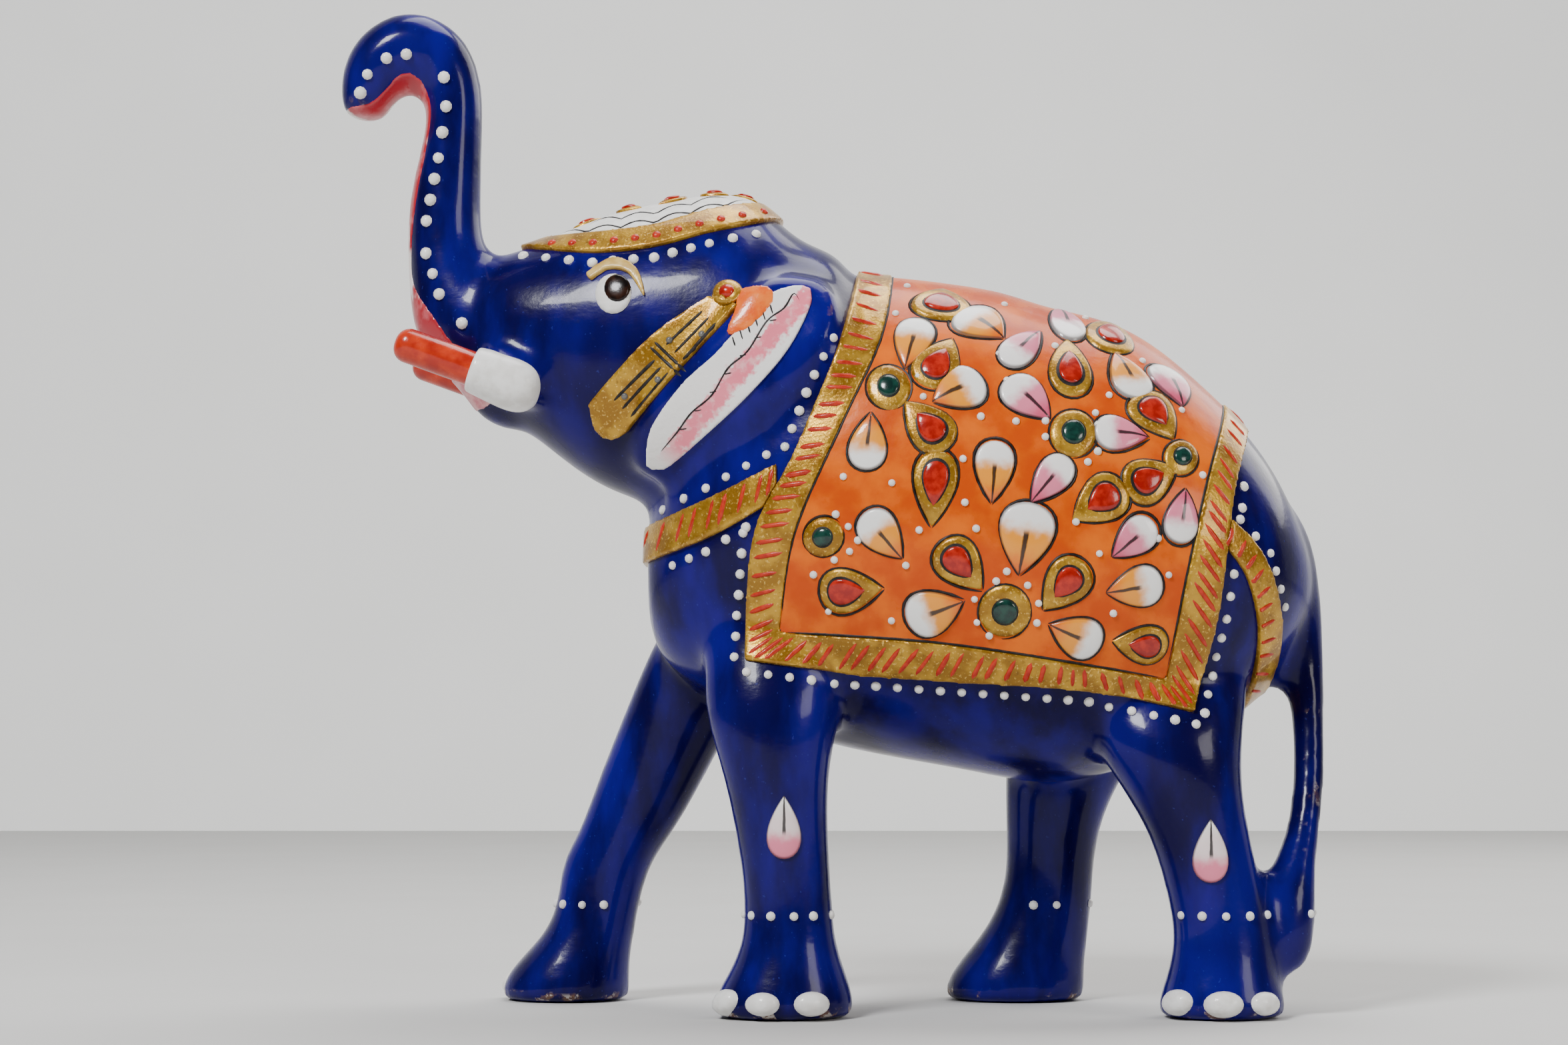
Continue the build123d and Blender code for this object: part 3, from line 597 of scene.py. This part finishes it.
def flankPoint(x, z, side):  # where the skin is met from one side, and its normal; x and z in millimetres
    start = Vector((x, side * cutterReach, z)) * mm
    point, normal, *_ = skin.ray_cast(start, Vector((0, -side, 0)))
    return (point, normal) if point else None


def islands(node):  # the loose solids of a CAD node, each as its middle and its points
    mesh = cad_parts[node].data
    parent = list(range(len(mesh.vertices)))

    def root(index):
        while parent[index] != index:
            parent[index] = parent[parent[index]]
            index = parent[index]
        return index

    places = {}
    for vertex in mesh.vertices:
        key = tuple(round(value / mm, 2) for value in vertex.co)
        parent[vertex.index] = places.setdefault(key, vertex.index)
    for edge in mesh.edges:
        first, second = (root(index) for index in edge.vertices)
        parent[first] = second
    groups = {}
    for vertex in mesh.vertices:
        groups.setdefault(root(vertex.index), []).append(vertex.co)
    found = []
    for points in groups.values():
        low = Vector([min(p[k] for p in points) for k in range(3)])
        high = Vector([max(p[k] for p in points) for k in range(3)])
        found.append(((low + high) / 2, points))
    return sorted(found, key=lambda item: tuple(round(value, 5) for value in item[0]))


def seatAt(middle):
    point, normal, *_ = skin.find_nearest(middle)
    return point, normal


def shapeOf(middle, points):  # frame of one drop: way to its point, length and width
    point, normal = seatAt(middle)
    across = normal.orthogonal().normalized()
    other = normal.cross(across)
    best = None
    for step in range(36):
        turn = math.radians(step * 5)
        way = across * math.cos(turn) + other * math.sin(turn)
        spans = [(p - middle).dot(way) for p in points]
        length = max(spans) - min(spans)
        if best is None or length > best[0]:
            best = (length, way, (max(spans) + min(spans)) / 2)
    length, way, shift = best
    side = normal.cross(way)
    centre = middle + way * shift
    beyond = length * 0.2
    front = [abs((p - centre).dot(side)) for p in points if (p - centre).dot(way) > beyond]
    back = [abs((p - centre).dot(side)) for p in points if (p - centre).dot(way) < -beyond]
    if max(front, default=0) > max(back, default=0):
        way = -way
    width = 2 * max(abs((p - centre).dot(side)) for p in points)
    return centre, way, length, width


def onSkin(base, normal):
    return skin.ray_cast(base + normal * 4 * mm, -normal, 8 * mm)[0] or base


def dropWaist(x, widest=1.089):  # half width of a drop at x, as a share of a circle's
    return math.sqrt(max(0.0, 1 - 2 * x)) / widest


def lay(pattern, middle, way, size, lift=0.0, sink=0.15):
    # a copy of the pattern's mesh, X along the way, bent to the skin; size is (length, width, height)
    point, normal = seatAt(middle)
    along = (way - normal * way.dot(normal)).normalized()
    across = normal.cross(along)
    mesh = pattern.data.copy()
    for vertex in mesh.vertices:
        x, y, z = vertex.co
        ground = onSkin(point + along * x * size[0] + across * y * size[1], normal)
        vertex.co = ground + normal * (z * size[2] + (lift if z > 0.01 else -sink) * mm)
    return link("laid", mesh)


def domeShape(name, rings, segments, power):  # half a ball one unit across, flat below, with UV from above
    bpy.ops.object.select_all(action="DESELECT")
    bpy.ops.mesh.primitive_uv_sphere_add(segments=segments, ring_count=rings * 2, radius=0.5)
    piece = bpy.context.object
    piece.name = name
    bpy.ops.object.mode_set(mode="EDIT")
    bpy.ops.mesh.select_all(action="SELECT")
    bpy.ops.mesh.bisect(plane_co=(0, 0, 0), plane_no=(0, 0, 1), clear_inner=True, use_fill=True)
    bpy.ops.object.mode_set(mode="OBJECT")
    layer = piece.data.uv_layers.active
    for loop in piece.data.loops:
        x, y, z = piece.data.vertices[loop.vertex_index].co
        layer.data[loop.index].uv = (x + 0.5, y + 0.5)
    for vertex in piece.data.vertices:
        vertex.co.z = (max(0.0, vertex.co.z) * 2) ** power
    return piece


def pointed(piece):  # narrows a dome to a point at +X
    for vertex in piece.data.vertices:
        x, y, z = vertex.co
        share = dropWaist(x)
        vertex.co.y = y * share
        vertex.co.z = z * min(1.0, 0.35 + share)
    return piece


bead = domeShape("bead_shape", 3, 10, 0.8)
blob = domeShape("blob_shape", 5, 20, 0.7)
drop = pointed(domeShape("drop_shape", 6, 28, 0.45))
shapes = [bead, blob, drop]


def dropFrames(node):
    return [shapeOf(middle, points) for middle, points in islands(node)]


def layDrops(name, frames, pattern, share, rise, slot, material, *nodes, lift=0.0, back=0.0):
    laid = []
    for centre, way, length, width in frames:
        size = (length * share * random.uniform(0.97, 1.03), width * share * random.uniform(0.96, 1.05),
                rise * mm)
        laid.append(lay(pattern, centre - way * length * back, way, size, lift))
    piece = joined(name, laid)
    print(name, len(laid), "laid")
    return keep(piece, slot, material, *nodes, angle=60)


# Brush lines: thin round strokes half sunk in the skin, tapered at both ends

strokes = {}


def inkLine(color, points, width):  # points with their normals
    if len(points) > 1:
        strokes.setdefault(color, []).append((points, width))


def onFlank(line, side):  # the points of a flat line that meet the skin
    return [found for found in (flankPoint(x, z, side) for x, z in line) if found]


def inkFlat(color, line, side, width):  # a flat line seen from the side
    inkLine(color, onFlank(line, side), width)


def between(start, end, share):
    return tuple(s + (e - s) * share for s, e in zip(start, end))


def inkBoth(color, points, width, spacing=0.6):
    if len(points) == 2:
        points = [between(*points, share) for share in (0, 0.5, 1)]
    for side in leftAndRight.values():
        inkFlat(color, openCurve(points, spacing), side, width)


def inkOverBack(color, points, width):  # points run from the ridge down
    sides = [onFlank(openCurve(points, 0.8), side) for side in leftAndRight.values()]
    start, end = sides[0][0][0], sides[1][0][0]
    bridge = [skin.find_nearest(start.lerp(end, step / 12))[:2] for step in range(1, 12)]
    inkLine(color, sides[0][::-1] + bridge + sides[1], width)


def inkRound(color, place, share, width, waist=lambda x: 1):
    # the outline of a ring or a drop, from its front round to its front
    centre, way, length, span = place
    point, normal = seatAt(centre)
    along = (way - normal * way.dot(normal)).normalized()
    across = normal.cross(along)
    slip = Vector((random.uniform(-0.15, 0.15), 0, random.uniform(-0.15, 0.15))) * mm
    line = []
    for step in range(31):
        turn = math.radians(step * 12)
        x = 0.5 * math.cos(turn)
        y = 0.5 * math.sin(turn) * waist(x)
        base = point + slip + along * x * length * share + across * y * span * share
        line.append((onSkin(base, normal), normal))
    inkLine(color, line, width)


def inkPiece(name, color, slot, material):
    curve = bpy.data.curves.new(name, "CURVE")
    curve.dimensions = "3D"
    curve.bevel_depth = 0.5 * mm
    curve.bevel_resolution = 1
    curve.use_fill_caps = True
    for points, width in strokes[color]:
        spline = curve.splines.new("POLY")
        spline.points.add(len(points) - 1)
        for number, (point, normal) in enumerate(points):
            share = number / (len(points) - 1)
            thick = width * min(1, 0.35 + 5 * min(share, 1 - share)) * random.uniform(0.88, 1.1)
            spline.points[number].co = (*(point - normal * width * 0.22 * mm), 1)
            spline.points[number].radius = thick
    piece = link(name, curve)
    activate(piece)
    bpy.ops.object.convert(target="MESH")
    piece = bpy.context.object
    cleanUp(piece)
    return keep(piece, slot, material, angle=60)


whiteFrames, pinkFrames = dropFrames("white_petals"), dropFrames("pink_petals")
gemFrames, legFrames = dropFrames("gem_settings"), dropFrames("leg_drops")
flowerFrames = dropFrames("flower_rings")
layDrops("white_petals_paste", whiteFrames, drop, 1.12, 0.7, "white_paste", whiteDrop, "white_petals")
layDrops("pink_petals_paste", pinkFrames, drop, 1.12, 0.7, "pink_paste", pinkDrop, "pink_petals")
layDrops("gem_settings_paste", gemFrames, drop, 1.14, 0.6, "gold_paste", gold, "gem_settings")
layDrops("gem_edges_paste", gemFrames, drop, 0.78, 0.3, "black_paste", black, lift=0.36, back=0.05)
layDrops("gem_stones_paste", gemFrames, drop, 0.66, 0.6, "red_paste", stoneRed, "gem_stones",
         lift=0.42, back=0.06)
layDrops("leg_drops_paste", legFrames, drop, 1.0, 0.7, "white_paste", legDrop, "leg_drops")
layDrops("flower_rings_paste", flowerFrames, blob, 1.1, 0.6, "gold_paste", gold, "flower_rings")
layDrops("flower_edges_paste", flowerFrames, blob, 0.66, 0.3, "black_paste", black, lift=0.36)
layDrops("flower_stones_paste", flowerFrames, blob, 0.54, 0.6, "green_paste", stoneGreen, "flower_stones",
         lift=0.42)
for frameSet, share in ((whiteFrames, 1.16), (pinkFrames, 1.16), (gemFrames, 1.18)):
    for one in frameSet:
        inkRound("black", one, share, 0.55, dropWaist)
for one in flowerFrames:
    inkRound("black", one, 1.12, 0.45)


# Eyes: a white drop, a black pupil up and back in it

eyeWay = Vector((1, 0, 0.2))
eyeParts = {  # place (x, z), size, lift, slot and material
    "eye": ((-32.3, 106.5), (5.6, 6.6, 0.9), 0.0, "white_paste", white),
    "pupil": ((-31.6, 107.0), (4.0, 4.7, 0.5), 0.62, "black_paste", pupilBlack),
}
for name, side in leftAndRight.items():
    for part, (place, size, lift, slot, material) in eyeParts.items():
        point, normal = flankPoint(*place, side)
        piece = lay(blob, point, eyeWay, [value * mm for value in size], lift)
        piece.name = f"{part}_{name}_paste"
        keep(piece, slot, material, f"{part}_{name}", angle=60)
print("drops and eyes set")


# Beads, buttons, stones and toenails sit where the CAD domes are

strapSkin = surfaceOf(breastPiece, crupperPiece)
strapCover = 0.8 * mm  # a dome this near to a strap is covered by it
levelWay = Vector((1, 0, 0.01))


def layDomes(name, node, pattern, size, slot, material):
    middles = [middle for middle, points in islands(node)]
    laid = []
    for middle in middles:
        if strapSkin.find_nearest(middle)[3] < strapCover:
            continue
        scale = random.uniform(0.9, 1.1)
        laid.append(lay(pattern, middle, levelWay, [value * scale * mm for value in size]))
    print(name, len(laid), "laid of", len(middles))
    return keep(joined(name, laid), slot, material, node, angle=60)


beadWidths = {
    "trunk_beads": 1.9, "head_beads": 1.6, "saddle_edge_beads": 1.45, "strap_beads": 1.45, "ankle_beads": 1.4,
    "saddle_field_beads": 1.15,
}
for node, width in beadWidths.items():
    layDomes(f"{node}_paste", node, bead, (width, width, width * 0.4), "white_paste", white)
layDomes("tassel_buttons_paste", "tassel_buttons", blob, (4.9, 4.9, 1.5), "gold_paste", gold)
layDomes("button_stones_paste", "button_stones", blob, (2.9, 2.9, 2.0), "red_paste", stoneRed)
for leg in ("front_left", "front_right", "rear_left", "rear_right"):
    layDomes(f"toenails_{leg}_paste", f"toenails_{leg}", blob, (5.4, 3.6, 1.4), "white_paste", white)
print("beads set")


# Brushwork: dashes across the gold, black lines on cloth, tassels, ears and head

def dashAcross(outer, inner, count, lean, width=0.85):
    outerLine, innerLine = openCurve(outer, 0.3), openCurve(inner, 0.3)
    for side in leftAndRight.values():
        for number in range(count):
            share = (number + 0.5 + random.uniform(-0.14, 0.14)) / count
            start = outerLine[round(share * (len(outerLine) - 1))]
            end = innerLine[round(min(1, max(0, share + lean)) * (len(innerLine) - 1))]
            reach = random.uniform(0.78, 0.9)
            line = [between(start, end, step) for step in (0.05, 0.2, 0.4, 0.6, reach)]
            inkFlat("red", line, side, width * random.uniform(0.85, 1.15))


dashAcross(saddle["borderFront"], saddle["clothFront"], 28, 0.03)
dashAcross(saddle["borderFoot"], saddle["clothFoot"], 27, 0.02)
dashAcross(saddle["borderRear"], saddle["clothRear"], 22, 0.03)
dashAcross(breast["top"], breast["foot"][::-1], 11, 0.07)
dashAcross(crupper["front"][::-1], crupper["rear"], 13, 0.04)
inkOverBack("black", saddle["clothFront"], 0.5)
inkOverBack("black", saddle["clothRear"][::-1], 0.5)
inkBoth("black", saddle["clothFoot"], 0.5)

tasselInk = {
    "top": (-15.7, 104.7), "foot": (-32.7, 87.4), "lines": (-1.75, 0.0, 1.75),
    "halves": ((0.13, 0.44), (0.54, 0.9)), "ties": (0.47, 0.51), "tieReach": 3.4,
    "dots": [(0.24, 1.0), (0.4, -1.9), (0.62, 1.0), (0.83, -1.0)],  # share of the way down, and across
    "dotSize": (1.1, 1.1, 0.4),
}
top, foot = Vector(tasselInk["top"]), Vector(tasselInk["foot"])
down = (foot - top).normalized()
over = Vector((-down.y, down.x))
for shift in tasselInk["lines"]:
    for first, last in tasselInk["halves"]:
        line = [top.lerp(foot, first) + over * shift * 0.8, top.lerp(foot, last) + over * shift]
        inkBoth("black", [tuple(point) for point in line], 0.58)
for share in tasselInk["ties"]:
    middle, reach = top.lerp(foot, share), over * tasselInk["tieReach"]
    inkBoth("black", [tuple(middle - reach), tuple(middle + reach)], 0.55)

earInk = [(-25.4, 82.6), (-22.6, 85.4), (-20.4, 88.6), (-17.6, 90.8), (-15.0, 94.6), (-12.4, 97.0),
          (-9.6, 101.4), (-7.2, 103.2), (-5.4, 105.9), (-4.6, 103.8)]
earStrokes = [  # first point, step to the next one, stroke, count, width
    ((-14.6, 99.4), (1.1, 0.95), (0.5, -1.7), 6, 0.3),
    ((-22.4, 85.9), (2.2, 2.6), (1.2, 0.2), 7, 0.26),
]
inkBoth("black", [(x + random.uniform(-0.3, 0.3), z + random.uniform(-0.3, 0.3)) for x, z in earInk], 0.36)
for (firstX, firstZ), (stepX, stepZ), (strokeX, strokeZ), count, width in earStrokes:
    for number in range(count):
        x, z = firstX + number * stepX, firstZ + number * stepZ
        inkBoth("black", [(x, z), (x + strokeX, z + strokeZ)], width)


def heightOf(line, x):  # the height at x of a line that runs towards +X
    (x0, z0), (x1, z1) = next(pair for pair in zip(line, line[1:]) if x <= pair[1][0])
    return z0 + (z1 - z0) * (x - x0) / (x1 - x0)


headWave = {"first": -42, "step": 0.7, "count": 46, "foot": 0.5, "height": 0.9, "pace": 0.42,
            "secondRise": 1.7, "secondFrom": 6}
waves = []
for number in range(headWave["count"]):
    x = headWave["first"] + number * headWave["step"]
    swell = headWave["height"] * abs(math.sin(number * headWave["pace"]))
    waves.append((x, heightOf(bandTop, x) + headWave["foot"] + swell))
for side in leftAndRight.values():
    inkFlat("black", waves, side, 0.45)
    inkFlat("black", [(x, z + headWave["secondRise"]) for x, z in waves[headWave["secondFrom"]:]], side, 0.4)
inkPiece("black_brush_lines", "black", "black_paste", black)
inkPiece("red_brush_dashes", "red", "red_paste", redDash)
print("brushwork done")


# Painted dots on the tassels and the head band, and the gold drops on the head cloth

def layDots(name, spots, size, slot, material):  # spots are (x, z, side)
    found = [flankPoint(*spot) for spot in spots]
    laid = [lay(bead, hit[0], levelWay, [value * mm for value in size]) for hit in found if hit]
    keep(joined(name, laid), slot, material, angle=60)


grayDots = [(*(top.lerp(foot, share) + over * shift), side)
            for share, shift in tasselInk["dots"] for side in leftAndRight.values()]
layDots("tassel_dots", grayDots, tasselInk["dotSize"], "black_paste", grayDot)
bandDots = {"first": -42, "step": 3.2, "count": 11, "size": (1.4, 1.4, 0.4)}
redDots = []
for side in leftAndRight.values():
    for number in range(bandDots["count"]):
        x = bandDots["first"] + number * bandDots["step"]
        redDots.append((x, (heightOf(bandTop, x) + heightOf(bandFoot, x)) / 2, side))
layDots("head_band_dots", redDots, bandDots["size"], "red_paste", redDash)
crest = {  # each drop's middle (x, y), with the way of its point in degrees
    "drops": [((-37, 0), 0), ((-30.5, 2.6), 40), ((-30.5, -2.6), -40), ((-24, 3.4), 150), ((-24, -3.4), -150),
              ((-17.5, 2.8), 30), ((-17.5, -2.8), -30), ((-13, 0), 180)],
    "above": 140, "gold": (5.0, 3.0, 0.5), "stone": (2.8, 1.7, 0.5), "stoneLift": 0.35,
}
crestDrops, crestStones = [], []
for (x, y), heading in crest["drops"]:
    hit = skin.ray_cast(Vector((x, y, crest["above"])) * mm, Vector((0, 0, -1)))[0]
    way = Vector((math.cos(math.radians(heading)), math.sin(math.radians(heading)), 0))
    crestDrops.append(lay(drop, hit, way, [value * mm for value in crest["gold"]]))
    crestStones.append(lay(drop, hit, way, [value * mm for value in crest["stone"]], crest["stoneLift"]))
keep(joined("crest_drops_paste", crestDrops), "gold_paste", gold, angle=60)
keep(joined("crest_stones_paste", crestStones), "red_paste", stoneRed, angle=60)

for shape in shapes:
    bpy.data.objects.remove(shape)

for name in leftAndRight:
    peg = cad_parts[f"tusk_{name}"]
    peg.data.materials.clear()
    peg.data.materials.append(tuskRed)
keep(body, "lacquered_wood", blue, "carved_body")


# Floor and soft studio light

room = {
    "floor": ((0.56, 0.555, 0.54), (0.6, 0.595, 0.58)), "wall": ((0.8, 0.8, 0.79), (0.72, 0.72, 0.7)),
    "wallPlace": 0.9, "wallGlow": 0.5, "sky": (0.9, 0.93, 1.0), "skyGlow": 0.08,
}


def backdrop(name, y, tilt, rough, cloud):  # a wide sheet of clouded paper, 6 metres square
    bpy.ops.mesh.primitive_plane_add(size=6, location=(0, y, 0), rotation=(math.radians(tilt), 0, 0))
    sheet = bpy.context.object
    sheet.name = name
    finish = Finish(f"{name}_paper", rough=rough)
    sheet.data.materials.append(finish.show(finish.mix(finish.noise(cloud, 2), *room[name])))
    return finish


backdrop("floor", 0, 0, 0.8, 40)
wallFinish = backdrop("wall", room["wallPlace"], 90, 0.9, 60)
wallFinish.plug(wallFinish.shader.inputs["Emission Color"], room["wall"][0])
wallFinish.plug(wallFinish.shader.inputs["Emission Strength"], room["wallGlow"])
lights = [  # name, place, size, power and tint
    ("window", (-0.42, -0.62, 0.72), 0.24, 11, (0.97, 0.98, 1.0)),
    ("sideFill", (0.7, -0.6, 0.35), 0.3, 2.6, (1.0, 0.96, 0.9)),
    ("topSoft", (0.1, 0.2, 0.85), 0.5, 5.5, (1.0, 1.0, 1.0)),
    ("backFill", (0.5, 0.45, 0.5), 0.5, 3, (1.0, 0.98, 0.95)),
]
for name, place, size, power, tint in lights:
    aim = (Vector((0, 0, 0.07)) - Vector(place)).to_track_quat("-Z", "Y").to_euler()
    bpy.ops.object.light_add(type="AREA", location=place, rotation=aim)
    lamp = bpy.context.object
    lamp.name = name
    lamp.data.size = size
    lamp.data.energy = power
    lamp.data.color = tint
world = bpy.context.scene.world or bpy.data.worlds.new("world")
bpy.context.scene.world = world
world.use_nodes = True
background = world.node_tree.nodes["Background"]
background.inputs["Color"].default_value = (*room["sky"], 1)
background.inputs["Strength"].default_value = room["skyGlow"]
print("room lit")
